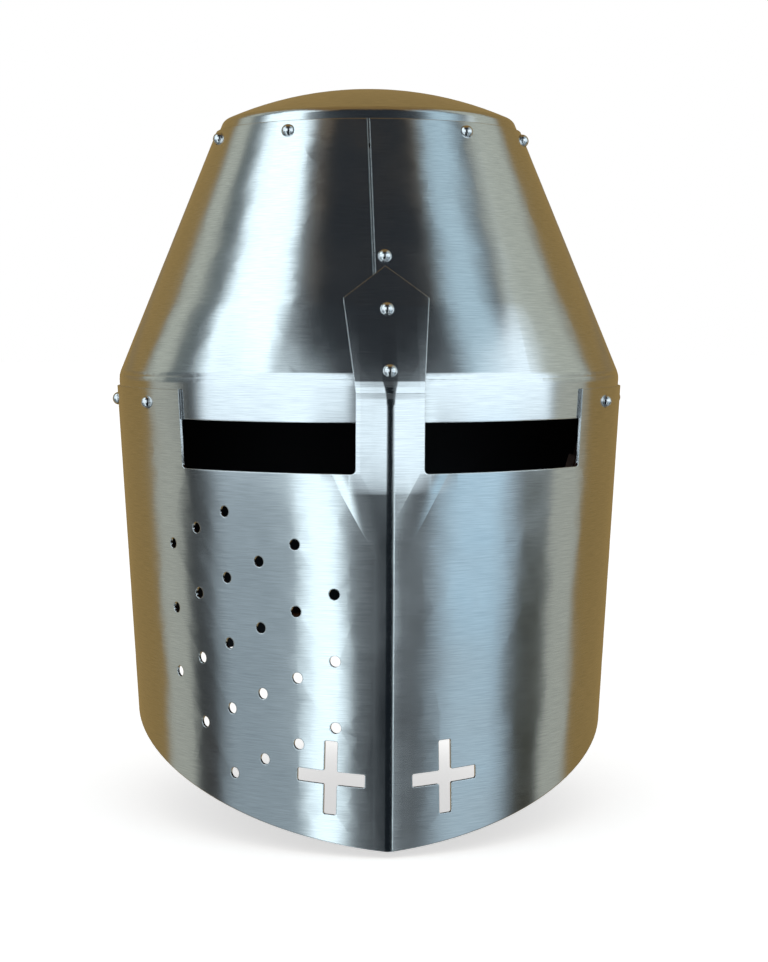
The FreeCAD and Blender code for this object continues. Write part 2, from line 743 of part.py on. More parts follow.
def chin_strap_tongue_end():
    swell = frame_wire + strap_leather
    under = -(roller_radius + soft_gap + strap_leather / 2 + roller_air)
    over = swell + soft_gap + strap_leather / 2
    slant = math.radians(strap_slant)

    def corner(inward, side):
        down = (strap_drop - strap_turn + inward * math.sin(slant)) / math.cos(slant)
        return run_point(down, inward, side)
    points = strap_top(-1) + [corner(-strap_leather / 2, -1), corner(under, 1),
                              run_point(end_bar - ramp_low, under),
                              run_point(heel_bar + ramp_high, over), run_point(tip_start, over)]
    radii = [strap_turn_radius, strap_corner_radius, strap_corner_radius, ramp_radius, ramp_radius]
    strap = ribbon(points, radii)
    slot = block(heel_bar + strap_slot[0], heel_bar + strap_slot[1], -strap_slot_half, strap_slot_half,
                 under, over + strap_leather)
    strap = strap.cut(run_placed(slot))
    for x in punch_places:
        strap = strap.cut(Part.makeCylinder(punch_radius, 4 * strap_leather,
                                            V(x, 0, -strap_drop - 2 * strap_leather)))
    keep = strap_end_trim(-1).fuse(block(0, FAR, -FAR, FAR, -FAR, FAR))
    return strap.common(keep).cut(pivot_hole(-1))


def bar_along_y(radius, half, down):
    return Part.makeCylinder(radius, 2 * half, V(down, -half, 0), Y_AXIS)


def buckle_frame():
    half = strap_width / 2 + frame_play + frame_wire
    frame = bar_along_y(frame_wire, half, heel_bar).fuse(bar_along_y(frame_wire, half, end_bar))
    for y in (-half, half):
        side = Part.makeCylinder(frame_wire, end_bar - heel_bar, V(heel_bar, y, 0), X_AXIS)
        ends = [Part.makeSphere(frame_wire, V(x, y, 0)) for x in (heel_bar, end_bar)]
        frame = frame.fuse([side] + ends)
    return run_placed(frame.removeSplitter())


def buckle_roller():
    half = strap_width / 2
    roller = bar_along_y(roller_radius, half, end_bar).cut(bar_along_y(bar_hole, half, end_bar))
    return run_placed(roller)


def buckle_prong():
    eye = bar_along_y(prong_eye_radius, prong_half_width, heel_bar)
    start = V(heel_bar + frame_wire, 0, frame_wire)
    rest = V(end_bar, 0, roller_radius + prong_radius + prong_rest)
    way = (rest - start).normalize()
    length = (rest - start).Length + prong_overhang
    bar = Part.makeCylinder(prong_radius, length, start, way)
    tip = Part.makeSphere(prong_radius, start + way * length)
    prong = eye.fuse([bar, tip]).cut(bar_along_y(bar_hole, prong_half_width, heel_bar))
    return run_placed(prong)


def strap_keeper():
    half = strap_width / 2 + soft_gap
    low = -strap_leather - soft_gap
    high = frame_wire + 2 * strap_leather + 2 * soft_gap
    start = keeper_centre - keeper_length / 2
    wall_size = keeper_leather
    outer = block(start, start + keeper_length, -half - wall_size, half + wall_size,
                  low - wall_size, high + wall_size)
    long_edges = [e for e in outer.Edges if e.BoundBox.XLength > keeper_length / 2]
    outer = outer.makeFillet(wall_size * 0.9, long_edges)
    inner = block(start - 1, start + keeper_length + 1, -half, half, low, high)
    return run_placed(outer.cut(inner))


# ---------------------------------------------------------------- build

os.makedirs("parts", exist_ok=True)

two_sheets = 2 * sheet + lap_gap
skull_laps = 2 * cone_sheet + lap_gap
liner_grip = liner_inset + band_leather + washer_air
pivot_grip = pivot_inset + strap_leather + strap_play

export("skull", skull())
export("crown_cap", crown_cap())
export("face_plate", face_plate())
export("back_plate", back_plate())
export("cap_rivets", rivets(cap_spots(), skull_laps))
export("seam_rivet", rivets(seam_spot(), skull_laps))
export("nasal_rivets", Part.makeCompound([placed(rivet(grip), spot, axis)
                                          for (spot, axis), grip in zip(nasal_spots(), nasal_grips())]))
export("waist_rivets_front", rivets(barrel_spots(waist_front_bearings), liner_grip + washer))
export("waist_rivets_rear", rivets(barrel_spots(waist_rear_bearings), liner_grip + washer))
export("strap_pivot_rivets", rivets(pivot_spots(), pivot_grip + washer))
export("side_rivets_right", rivets(side_spots(-1), two_sheets))
export("side_rivets_left", rivets(side_spots(1), two_sheets))
export("liner_washers", washers(waist_spots(), liner_grip))
export("strap_washers", washers(pivot_spots(), pivot_grip))
export("liner_band", liner_band())
for number, piece in enumerate(tongues(), 1):
    export("liner_tongue_%d" % number, piece)
export("liner_lace", liner_lace())
export("chin_strap_buckle_end", chin_strap_buckle_end())
export("chin_strap_tongue_end", chin_strap_tongue_end())
export("buckle_frame", buckle_frame())
export("buckle_roller", buckle_roller())
export("buckle_prong", buckle_prong())
export("strap_keeper", strap_keeper())
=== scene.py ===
import bpy
import math
from mathutils import Matrix, Vector


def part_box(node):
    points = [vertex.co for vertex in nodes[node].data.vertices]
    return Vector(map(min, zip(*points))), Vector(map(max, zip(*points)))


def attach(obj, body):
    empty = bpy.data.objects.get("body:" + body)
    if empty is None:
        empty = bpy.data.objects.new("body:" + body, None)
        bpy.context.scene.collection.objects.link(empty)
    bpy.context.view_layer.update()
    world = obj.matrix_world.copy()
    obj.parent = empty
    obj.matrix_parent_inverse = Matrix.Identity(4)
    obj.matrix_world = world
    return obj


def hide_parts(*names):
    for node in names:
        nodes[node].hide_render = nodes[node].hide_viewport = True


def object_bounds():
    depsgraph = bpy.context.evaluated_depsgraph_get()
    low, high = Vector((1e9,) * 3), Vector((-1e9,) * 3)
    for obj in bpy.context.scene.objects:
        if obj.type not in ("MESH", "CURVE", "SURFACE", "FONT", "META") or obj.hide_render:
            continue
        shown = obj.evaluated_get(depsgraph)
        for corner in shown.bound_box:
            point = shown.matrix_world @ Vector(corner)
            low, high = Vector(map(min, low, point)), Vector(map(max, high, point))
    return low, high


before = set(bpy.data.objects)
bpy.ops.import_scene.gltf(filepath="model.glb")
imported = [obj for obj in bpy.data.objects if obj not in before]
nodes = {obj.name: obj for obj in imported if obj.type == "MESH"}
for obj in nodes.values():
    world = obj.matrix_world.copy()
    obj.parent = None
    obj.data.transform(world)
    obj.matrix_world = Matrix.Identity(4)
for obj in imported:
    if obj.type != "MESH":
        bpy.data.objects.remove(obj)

cad_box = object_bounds()

# ---------------------------------------------------------------- studio
# The helm is seen a little from its right on a pale floor that is clear from below.  Bare
# steel shows only what is around it, so bright windows stand to either side in front, a
# dark wall faces the helm, and warm timber walls stand behind it.

mm = 0.001


def linear(hex_colour):
    """An sRGB hex colour as the linear values that a shader takes."""
    values = []
    for i in (0, 2, 4):
        v = int(hex_colour[i:i + 2], 16) / 255
        values.append(v / 12.92 if v <= 0.04045 else ((v + 0.055) / 1.055) ** 2.4)
    return (*values, 1.0)


def add_node(tree, kind, settings=None, inputs=None):
    """Add one node: settings fill its properties, and inputs its sockets, by name or number,
    each with a value or with another node's socket."""
    node = tree.nodes.new(kind)
    for name, value in (settings or {}).items():
        setattr(node, name, value)
    for name, value in (inputs or {}).items():
        socket = node.inputs[name]
        if isinstance(value, bpy.types.NodeSocket):
            tree.links.new(value, socket)
        else:
            socket.default_value = value
    return node


camera_height = 29 * mm
camera_distance = 1047.6 * mm
camera_bearing = math.radians(-3.66)
camera_pan = math.radians(-4.08)
camera_pitch = math.radians(-3.87)
focal_length = 97.9
film_width = 36.0

camera_data = bpy.data.cameras.new("camera")
camera = bpy.data.objects.new("camera", camera_data)
bpy.context.scene.collection.objects.link(camera)
camera.location = (camera_distance * math.sin(camera_bearing), -camera_distance * math.cos(camera_bearing),
                   camera_height)
camera.rotation_euler = (math.radians(90) + camera_pitch, 0, camera_pan)
camera_data.sensor_fit = "HORIZONTAL"
camera_data.sensor_width = film_width
camera_data.lens = focal_length
bpy.context.scene.camera = camera
bpy.context.scene.view_settings.view_transform = "Standard"

floor_size = 40.0
floor_gap = 3 * mm        # air between the floor and the helm's lowest point
floor_glow = 0.62         # the floor gives light of its own, which keeps it pale

bpy.ops.object.select_all(action="DESELECT")
bpy.ops.mesh.primitive_plane_add(size=floor_size, location=(0, 0, cad_box[0][2] - floor_gap))
floor = bpy.context.object
floor.name = "floor"
paper = bpy.data.materials.new("lit white floor")
paper.use_nodes = True
tree = paper.node_tree
shader = tree.nodes["Principled BSDF"]
shader.inputs["Base Color"].default_value = linear("f2f2f0")
shader.inputs["Roughness"].default_value = 0.9
shader.inputs["Specular IOR Level"].default_value = 0.1
shader.inputs["Emission Color"].default_value = linear("ffffff")
shader.inputs["Emission Strength"].default_value = floor_glow
floor_side = add_node(tree, "ShaderNodeNewGeometry")
clear = add_node(tree, "ShaderNodeBsdfTransparent")
either = add_node(tree, "ShaderNodeMixShader", inputs={0: floor_side.outputs["Backfacing"],
                                                      1: shader.outputs[0], 2: clear.outputs[0]})
tree.links.new(either.outputs[0], tree.nodes["Material Output"].inputs["Surface"])
floor.data.materials.append(paper)
floor.visible_glossy = False

world = bpy.context.scene.world or bpy.data.worlds.new("studio")
bpy.context.scene.world = world
world.use_nodes = True
air = world.node_tree
air.nodes.clear()
look = add_node(air, "ShaderNodeTexCoord")
toward = add_node(air, "ShaderNodeSeparateXYZ", inputs={"Vector": look.outputs["Generated"]})
ahead = add_node(air, "ShaderNodeMath", {"operation": "MULTIPLY"}, {0: toward.outputs["Y"], 1: -1.0})
bearing = add_node(air, "ShaderNodeMath", {"operation": "ARCTAN2"}, {0: toward.outputs["X"],
                                                                    1: ahead.outputs[0]})
height = add_node(air, "ShaderNodeMath", {"operation": "ARCSINE"}, {0: toward.outputs["Z"]})
surround = add_node(air, "ShaderNodeRGB").outputs[0]
surround.default_value = linear("60666a")


def soft_step(value, start, end):
    """1 between start and end degrees, easing to 0 on each side over the soft margin."""
    middle = math.radians((start[0] + end[0]) / 2)
    from_middle = add_node(air, "ShaderNodeMath", {"operation": "SUBTRACT"}, {0: value, 1: middle})
    away = add_node(air, "ShaderNodeMath", {"operation": "ABSOLUTE"}, {0: from_middle.outputs[0]})
    half = math.radians((end[0] - start[0]) / 2)
    soft = math.radians(start[1])
    return add_node(air, "ShaderNodeMapRange", {"interpolation_type": "SMOOTHSTEP"},
                    {"Value": away.outputs[0], "From Min": half - soft, "From Max": half + soft,
                     "To Min": 1.0, "To Max": 0.0}).outputs[0]


def screen(left, right, low, high, hex_colour, brightness, soft=4.0):
    """Hang one soft-edged window, wall or flag over what is already there.  Bearings run in
    degrees from the helm's front towards its left hand, heights from level."""
    global surround
    across = soft_step(bearing.outputs[0], (left, soft), (right, soft))
    upright = soft_step(height.outputs[0], (low, soft), (high, soft))
    both = add_node(air, "ShaderNodeMath", {"operation": "MULTIPLY"}, {0: across, 1: upright})
    colour = tuple(part * brightness for part in linear(hex_colour)[:3]) + (1.0,)
    mix = add_node(air, "ShaderNodeMix", {"data_type": "RGBA"}, {0: both.outputs[0], 6: surround, 7: colour})
    surround = mix.outputs[2]


# colours of what stands round the helm, and the heights in degrees where it starts and ends
timber = "9b8252"
plaster = "b8bcb2"
high_plaster = "c4cabf"
daylight = "e6f8ff"
dark_wall = "1a2229"
foot = -70
wall_foot = -60
sill = 6
lintel = 62
roof = 85

# timber walls behind, lower and higher, and timber overhead
screen(115, 250, foot, sill, timber, 0.92)
screen(-250, -125, foot, sill, timber, 0.95)
screen(124, 250, sill, roof, timber, 0.95)
screen(-250, -134, sill, roof, timber, 1.0)
screen(-180, 180, lintel, 95, "96794a", 0.85, 12)
# pale plaster and shadowed corners beside them
screen(97, 116, foot, sill, plaster, 0.95, 4)
screen(-126, -107, foot, sill, plaster, 0.95, 4)
screen(92, 123, sill, lintel, high_plaster, 0.95, 6)
screen(-133, -117, sill, lintel, high_plaster, 0.95, 5)
screen(81, 96, foot, 10, "4a4c44", 0.9)
screen(-106, -92, foot, 10, "44484a", 0.8)
screen(74, 98, foot, -18, "4a463e", 0.85, 5)
screen(-106, -84, foot, -18, "4a423c", 0.85, 4)
screen(-116, -108, sill, lintel, "6f7a7c", 0.9, 4)
# dim walls at the sides, with a pale blue patch on the left one
screen(46, 76, wall_foot, 2, "bfd4e0", 0.95, 9)
screen(48, 74, -13, 6, "b4dcf4", 1.15, 7)
screen(-90, -53, wall_foot, 0, "b4c6d0", 0.74, 6)
# windows in front to either side
screen(-52, -36, wall_foot, 8, daylight, 1.8, 4)
screen(20, 27, wall_foot, 8, daylight, 1.8, 2)
screen(-62, -34, -6, 40, daylight, 1.7, 7)
screen(-104, -65, 20, 60, daylight, 1.9, 5)
screen(53, 82, 18, lintel, "bedbea", 1.05, 9)
screen(-96, -15, -5, 34, "e6f6ff", 1.6, 5)
screen(19, 96, -5, 34, "e6f6ff", 1.6, 5)
# the dark wall in front
screen(-24, 18, wall_foot, -8, dark_wall, 0.7, 4)
screen(-14, 18, -10, 34, dark_wall, 0.7, 4)
screen(-50, 46, 42, 74, "2a3036", 0.9, 7)

# only reflections show the surround: what the eye sees is white, and the fill light is plain
lit_room = add_node(air, "ShaderNodeBackground", inputs={"Color": surround, "Strength": 1.0})
soft_fill = add_node(air, "ShaderNodeBackground", inputs={"Color": linear("ffffff"), "Strength": 0.55})
white = add_node(air, "ShaderNodeBackground", inputs={"Color": linear("ffffff"), "Strength": 1.0})
path = add_node(air, "ShaderNodeLightPath")
lighting = add_node(air, "ShaderNodeMixShader", inputs={0: path.outputs["Is Glossy Ray"],
                                                        1: soft_fill.outputs[0],
                                                        2: lit_room.outputs[0]})
seen = add_node(air, "ShaderNodeMixShader", inputs={0: path.outputs["Is Camera Ray"], 1: lighting.outputs[0],
                                                    2: white.outputs[0]})
add_node(air, "ShaderNodeOutputWorld", inputs={"Surface": seen.outputs[0]})

# ---------------------------------------------------------------- steel plates
# Skull, crown cap, face plate and back plate are mild steel sheet, rolled and hammered to
# shape, then linished round the helm on a flap wheel: a satin shine with fine level lines.
# Their inner faces are painted dark and dull: painted shade for the inside of the helm.

cloud_size = 35.7 * mm
dent_size = 62.5 * mm
dent_depth = 1.2 * mm
line_depth = 0.004 * mm
edge_rounding = 0.7 * mm
mean_radius = 120 * mm                # turns a bearing into a length round the helm
inside_middle = (0, 0, -60 * mm)      # a plate's inner face looks towards this point
inside_limit = -0.5                   # a face turned further in than this is an inner one
# painted shade for the inside of the helm: the dark colour and dull roughness that faces turned inwards get
painted_inside_shade = "303033"
inside_roughness = 0.6


def satin_steel(name, hex_light, hex_dark, roughness, line_gap, line_length, hammering=None):
    """Linished mild steel: fine lines run round the helm, with cloudy patches where the
    wheel has dwelt and dents of a fraction of a millimetre from the hammer.  A plate's own
    hammering adds a height in metres."""
    material = bpy.data.materials.new(name)
    material.use_nodes = True
    tree = material.node_tree
    shader = tree.nodes["Principled BSDF"]
    shader.inputs["Metallic"].default_value = 1.0
    shader.inputs["Anisotropic"].default_value = 0.45
    shader.inputs["Anisotropic Rotation"].default_value = 0.25
    place = add_node(tree, "ShaderNodeTexCoord").outputs["Object"]
    parts = add_node(tree, "ShaderNodeSeparateXYZ", inputs={"Vector": place})
    turn = add_node(tree, "ShaderNodeMath", {"operation": "ARCTAN2"}, {0: parts.outputs["Y"],
                                                                     1: parts.outputs["X"]})
    around = add_node(tree, "ShaderNodeMath", {"operation": "MULTIPLY"}, {0: turn.outputs[0],
                                                                        1: mean_radius / line_length})
    rise = add_node(tree, "ShaderNodeMath", {"operation": "MULTIPLY"}, {0: parts.outputs["Z"],
                                                                      1: 1 / line_gap})
    drawn_out = add_node(tree, "ShaderNodeCombineXYZ", inputs={"X": around.outputs[0],
                                                              "Y": rise.outputs[0]})
    lines = add_node(tree, "ShaderNodeTexNoise", inputs={"Vector": drawn_out.outputs[0], "Scale": 1.0,
                                                       "Detail": 3.0, "Roughness": 0.65})
    clouds = add_node(tree, "ShaderNodeTexNoise", inputs={"Vector": place, "Scale": 1 / cloud_size,
                                                        "Detail": 4.0, "Roughness": 0.6})
    line_tone = add_node(tree, "ShaderNodeMapRange", inputs={"Value": lines.outputs["Fac"], "From Min": 0.32,
                                                           "From Max": 0.62})
    tone = add_node(tree, "ShaderNodeMix", {"data_type": "RGBA"}, {0: line_tone.outputs[0],
                                                                 6: linear(hex_dark), 7: linear(hex_light)})
    surface = add_node(tree, "ShaderNodeNewGeometry")
    from_middle = add_node(tree, "ShaderNodeVectorMath", {"operation": "SUBTRACT"},
                           {0: place, 1: inside_middle})
    outwards = add_node(tree, "ShaderNodeVectorMath", {"operation": "NORMALIZE"},
                        {0: from_middle.outputs["Vector"]})
    facing_out = add_node(tree, "ShaderNodeVectorMath", {"operation": "DOT_PRODUCT"},
                          {0: surface.outputs["True Normal"], 1: outwards.outputs["Vector"]})
    # painted shade: faces turned in towards the helm's middle get a dark, dull finish for the shade inside
    inside = add_node(tree, "ShaderNodeMath", {"operation": "LESS_THAN"}, {0: facing_out.outputs["Value"],
                                                                         1: inside_limit})
    inside_shade_tone = add_node(tree, "ShaderNodeMix", {"data_type": "RGBA"}, {0: inside.outputs[0],
                                                                 6: tone.outputs[2], 7: linear(painted_inside_shade)})
    tree.links.new(inside_shade_tone.outputs[2], shader.inputs["Base Color"])
    shine = add_node(tree, "ShaderNodeMapRange", inputs={"Value": clouds.outputs["Fac"], "From Min": 0.3,
                                                       "From Max": 0.7, "To Min": roughness * 0.85,
                                                       "To Max": roughness * 1.2})
    rough_inside = add_node(tree, "ShaderNodeMix", inputs={0: inside.outputs[0], 2: shine.outputs[0],
                                                       3: inside_roughness})
    tree.links.new(rough_inside.outputs[0], shader.inputs["Roughness"])
    dents = add_node(tree, "ShaderNodeTexNoise", inputs={"Vector": place, "Scale": 1 / dent_size,
                                                       "Detail": 1.5})
    rounded = add_node(tree, "ShaderNodeBevel", {"samples": 4}, {"Radius": edge_rounding})
    hammered = add_node(tree, "ShaderNodeBump", inputs={"Strength": 1.0, "Distance": dent_depth,
                                                      "Height": dents.outputs["Fac"],
                                                      "Normal": rounded.outputs[0]})
    if hammering:
        hammered = add_node(tree, "ShaderNodeBump", inputs={"Strength": 1.0, "Distance": 1.0,
                                                          "Height": hammering(tree, parts),
                                                          "Normal": hammered.outputs[0]})
    grain = add_node(tree, "ShaderNodeBump", inputs={"Strength": 0.22, "Distance": line_depth,
                                                   "Height": lines.outputs["Fac"],
                                                   "Normal": hammered.outputs[0]})
    tree.links.new(grain.outputs[0], shader.inputs["Normal"])
    round_helm = add_node(tree, "ShaderNodeTangent", {"direction_type": "RADIAL", "axis": "Z"})
    tree.links.new(round_helm.outputs[0], shader.inputs["Tangent"])
    return material


def finish_node(name, material):
    """Give a carried-over node its finish."""
    mesh = nodes[name].data
    mesh.materials.clear()
    mesh.materials.append(material)


def ramp(tree, value, low, high, start, end):
    """A straight ramp from start to end as the value goes from low to high."""
    return add_node(tree, "ShaderNodeMapRange", inputs={"Value": value, "From Min": low, "From Max": high,
                                                      "To Min": start, "To Max": end}).outputs[0]


def bend_hollow(tree, z, low, middle, high, depth, power):
    """The metal on both sides of a hammered bend leans towards it, so that the bend has no
    hard line: a hollow that is deepest at the middle height."""
    below = ramp(tree, z, low, middle, 0.0, 1.0)
    above = ramp(tree, z, middle, high, 1.0, 0.0)
    nearest = add_node(tree, "ShaderNodeMath", {"operation": "MINIMUM"}, {0: below, 1: above})
    eased = add_node(tree, "ShaderNodeMath", {"operation": "POWER"}, {0: nearest.outputs[0], 1: power})
    return add_node(tree, "ShaderNodeMath", {"operation": "MULTIPLY"}, {0: eased.outputs[0],
                                                                      1: -depth}).outputs[0]


def skull_bend(tree, parts):
    """The bend between the skull's cone and its skirt, worked soft over a stake."""
    low = -32 * mm
    middle = 12 * mm
    high = 46 * mm
    depth = 2.6 * mm
    return bend_hollow(tree, parts.outputs["Z"], low, middle, high, depth, 1.6)


def nasal_form(tree, parts):
    """The nasal is two flats that meet on the keel.  They run out to a point a little below
    the eye slots, where the cheeks' curve takes over, and lean back towards the tab."""
    point_height = -64 * mm       # where the flats run out
    full_height = -29 * mm        # where they are widest
    half_width = 19 * mm
    cheek_diameter = 300 * mm     # a flat stands clear of the cheek's curve by side squared over this
    lean_low = -38 * mm
    lean_middle = 6 * mm
    lean_high = 44 * mm
    lean_depth = 5.4 * mm
    lean_near = 18 * mm           # the lean is whole this far from the keel, and gone at lean_far
    lean_far = 30 * mm
    z = parts.outputs["Z"]
    side = add_node(tree, "ShaderNodeMath", {"operation": "ABSOLUTE"}, {0: parts.outputs["X"]}).outputs[0]
    reach = ramp(tree, z, point_height, full_height, 0.0, half_width)
    past = add_node(tree, "ShaderNodeMath", {"operation": "SUBTRACT"}, {0: side, 1: reach}).outputs[0]
    flat = ramp(tree, past, -6 * mm, 7 * mm, 1.0, 0.0)
    square = add_node(tree, "ShaderNodeMath", {"operation": "MULTIPLY"}, {0: side, 1: side}).outputs[0]
    sagitta = add_node(tree, "ShaderNodeMath", {"operation": "DIVIDE"},
                       {0: square, 1: cheek_diameter}).outputs[0]
    proud = add_node(tree, "ShaderNodeMath", {"operation": "MULTIPLY"}, {0: sagitta, 1: flat}).outputs[0]
    lean = bend_hollow(tree, z, lean_low, lean_middle, lean_high, lean_depth, 1.35)
    near = ramp(tree, side, lean_near, lean_far, 1.0, 0.0)
    leaning = add_node(tree, "ShaderNodeMath", {"operation": "MULTIPLY"}, {0: lean, 1: near}).outputs[0]
    return add_node(tree, "ShaderNodeMath", {"operation": "ADD"}, {0: proud, 1: leaning}).outputs[0]


light_steel = "dadcdd"
dark_steel = "c6c9cb"
line_gap = 0.35 * mm     # real lines are a tenth of this, too fine to show
line_length = 12 * mm
for name, hammering in (("skull", skull_bend), ("crown_cap", None), ("face_plate", nasal_form),
                        ("back_plate", None)):
    finish_node(name, satin_steel("satin linished mild steel of the " + name, light_steel, dark_steel, 0.16,
                                  line_gap, line_length, hammering))

# rivets, washers and the buckle are small turned pieces, buffed brighter than the plates
rivet_steel = satin_steel("buffed rivet steel", "e0e0e0", "b8b8ba", 0.12, 0.4 * mm, 2 * mm)
for name in nodes:
    if "rivet" in name or "washer" in name or name.startswith("buckle_"):
        finish_node(name, rivet_steel)

# ---------------------------------------------------------------- liner
# A leather band is riveted round the inside of the waist.  Eight tongues of softer leather
# are sewn to it, rise to a crown over the head, and are drawn together by a lace in their
# hems.  The hide is dyed brown, with its grain side inwards.

tongue_names = ["liner_tongue_%d" % number for number in range(1, 9)]
weld = 0.01 * mm              # loose triangles closer than this are one surface
crease_size = 3.85 * mm
patch_size = 29.4 * mm


def own_copy(node, name):
    """A free copy of a carried-over node, its loose triangles merged."""
    bpy.ops.object.select_all(action="DESELECT")
    piece = nodes[node].copy()
    piece.data = nodes[node].data.copy()
    piece.name = name
    piece.parent = None
    for key in list(piece.keys()):
        del piece[key]
    piece.data.materials.clear()
    bpy.context.scene.collection.objects.link(piece)
    bpy.context.view_layer.objects.active = piece
    piece.select_set(True)
    bpy.ops.object.mode_set(mode="EDIT")
    bpy.ops.mesh.select_all(action="SELECT")
    bpy.ops.mesh.remove_doubles(threshold=weld)
    bpy.ops.mesh.normals_make_consistent(inside=False)
    bpy.ops.object.mode_set(mode="OBJECT")
    return piece


def modify(piece, kind, **settings):
    """Add one modifier and apply it."""
    bpy.context.view_layer.objects.active = piece
    modifier = piece.modifiers.new(kind.lower(), kind)
    for name, value in settings.items():
        setattr(modifier, name, value)
    bpy.ops.object.modifier_apply(modifier=modifier.name)


def soft_leather(node, name, body, voxel, cockle, cockle_size):
    """A cut piece of hide: its edges are rounded by wear and its face cockles a little."""
    piece = own_copy(node, name)
    modify(piece, "REMESH", mode="VOXEL", voxel_size=voxel, adaptivity=0.0)
    modify(piece, "SMOOTH", factor=0.5, iterations=2)
    waves = bpy.data.textures.new(name + " cockle", "CLOUDS")
    waves.noise_scale = cockle_size
    waves.noise_depth = 2
    modify(piece, "DISPLACE", texture=waves, texture_coords="LOCAL", strength=cockle, mid_level=0.5)
    bpy.ops.object.shade_smooth()
    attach(piece, body)
    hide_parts(node)
    return piece


def hide(name, hex_face, hex_deep, hex_worn, pore, roughness):
    """Dyed, drum-finished cowhide: pebbled grain a millimetre across, darker in the creases,
    paler where the dye has rubbed, with a dull waxy shine."""
    material = bpy.data.materials.new(name)
    material.use_nodes = True
    tree = material.node_tree
    shader = tree.nodes["Principled BSDF"]
    shader.inputs["Specular IOR Level"].default_value = 0.42
    shader.inputs["Sheen Weight"].default_value = 0.08
    place = add_node(tree, "ShaderNodeTexCoord").outputs["Object"]
    pebbles = add_node(tree, "ShaderNodeTexVoronoi", {"feature": "F1"},
                       {"Vector": place, "Scale": 1 / pore, "Randomness": 1.0})
    creases = add_node(tree, "ShaderNodeTexNoise", inputs={"Vector": place, "Scale": 1 / crease_size,
                                                         "Detail": 5.0, "Roughness": 0.62,
                                                         "Distortion": 0.6})
    patches = add_node(tree, "ShaderNodeTexNoise", inputs={"Vector": place, "Scale": 1 / patch_size,
                                                         "Detail": 4.0})
    # the colour turns darker where the crease noise is low, which is where the crease bump sinks
    crease_darkened = add_node(tree, "ShaderNodeMix", {"data_type": "RGBA"}, {0: creases.outputs["Fac"],
                                                                6: linear(hex_deep), 7: linear(hex_face)})
    rubbed = add_node(tree, "ShaderNodeMapRange", inputs={"Value": patches.outputs["Fac"], "From Min": 0.52,
                                                        "From Max": 0.74, "To Max": 0.55})
    worn = add_node(tree, "ShaderNodeMix", {"data_type": "RGBA"}, {0: rubbed.outputs[0], 6: crease_darkened.outputs[2],
                                                                 7: linear(hex_worn)})
    tree.links.new(worn.outputs[2], shader.inputs["Base Color"])
    wax = add_node(tree, "ShaderNodeMapRange", inputs={"Value": patches.outputs["Fac"],
                                                     "To Min": roughness - 0.12, "To Max": roughness + 0.12})
    tree.links.new(wax.outputs[0], shader.inputs["Roughness"])
    pebbled = add_node(tree, "ShaderNodeBump", inputs={"Strength": 0.5, "Distance": 0.12 * mm,
                                                     "Height": pebbles.outputs["Distance"]})
    creased = add_node(tree, "ShaderNodeBump", inputs={"Strength": 0.6, "Distance": 0.15 * mm,
                                                     "Height": creases.outputs["Fac"],
                                                     "Normal": pebbled.outputs[0]})
    tree.links.new(creased.outputs[0], shader.inputs["Normal"])
    return material


liner_hide = hide("dyed cowhide liner", "5a3018", "3a1c0e", "7a4a2a", 0.9 * mm, 0.62)
liner_voxel = 0.8 * mm
band = soft_leather("liner_band", "liner_band_hide", "helm", liner_voxel, 0.3 * mm, 30 * mm)
tongues = []
for node in tongue_names:
    tongues.append(soft_leather(node, node + "_hide", "helm", liner_voxel, 0.5 * mm, 24 * mm))
for piece in [band] + tongues:
    piece.data.materials.append(liner_hide)

# the thread that sews the tongues to the band: one stitch, copied round the waist
stitch_gap = 4.4 * mm
stitch_length = 3.0 * mm
stitch_radius = 0.45 * mm
stitch_height = 4.6 * mm
waist_radius = 120 * mm       # steps the seam on where no tongue is met


def one_stitch(length, radius):
    """A stitch pulled tight: a slim waxed thread whose ends dip into their holes."""
    bpy.ops.object.select_all(action="DESELECT")
    bpy.ops.mesh.primitive_uv_sphere_add(segments=8, ring_count=6, radius=1.0)
    stitch = bpy.context.object
    bpy.ops.object.mode_set(mode="EDIT")
    bpy.ops.mesh.select_all(action="SELECT")
    bpy.ops.transform.rotate(value=math.radians(90), orient_axis="Y", center_override=(0, 0, 0))
    bpy.ops.transform.resize(value=(length / 2, radius, radius), center_override=(0, 0, 0))
    bpy.ops.object.mode_set(mode="OBJECT")
    bpy.ops.object.shade_smooth()
    return stitch


def sew(name, stitch, places):
    """Copy the stitch to each place (point, outward normal, run) and join the copies."""
    copies = []
    for point, normal, run in places:
        copy = stitch.copy()
        copy.data = stitch.data.copy()
        bpy.context.scene.collection.objects.link(copy)
        along = run.normalized()
        out = (normal - along * normal.dot(along)).normalized()
        side = out.cross(along)
        turn = Matrix((along, side, out)).transposed().to_4x4()
        copy.data.transform(Matrix.Translation(point) @ turn)
        copies.append(copy)
    bpy.data.objects.remove(stitch)
    bpy.ops.object.select_all(action="DESELECT")
    for copy in copies:
        copy.select_set(True)
    bpy.context.view_layer.objects.active = copies[0]
    bpy.ops.object.join()
    seam = bpy.context.object
    seam.name = name
    return seam


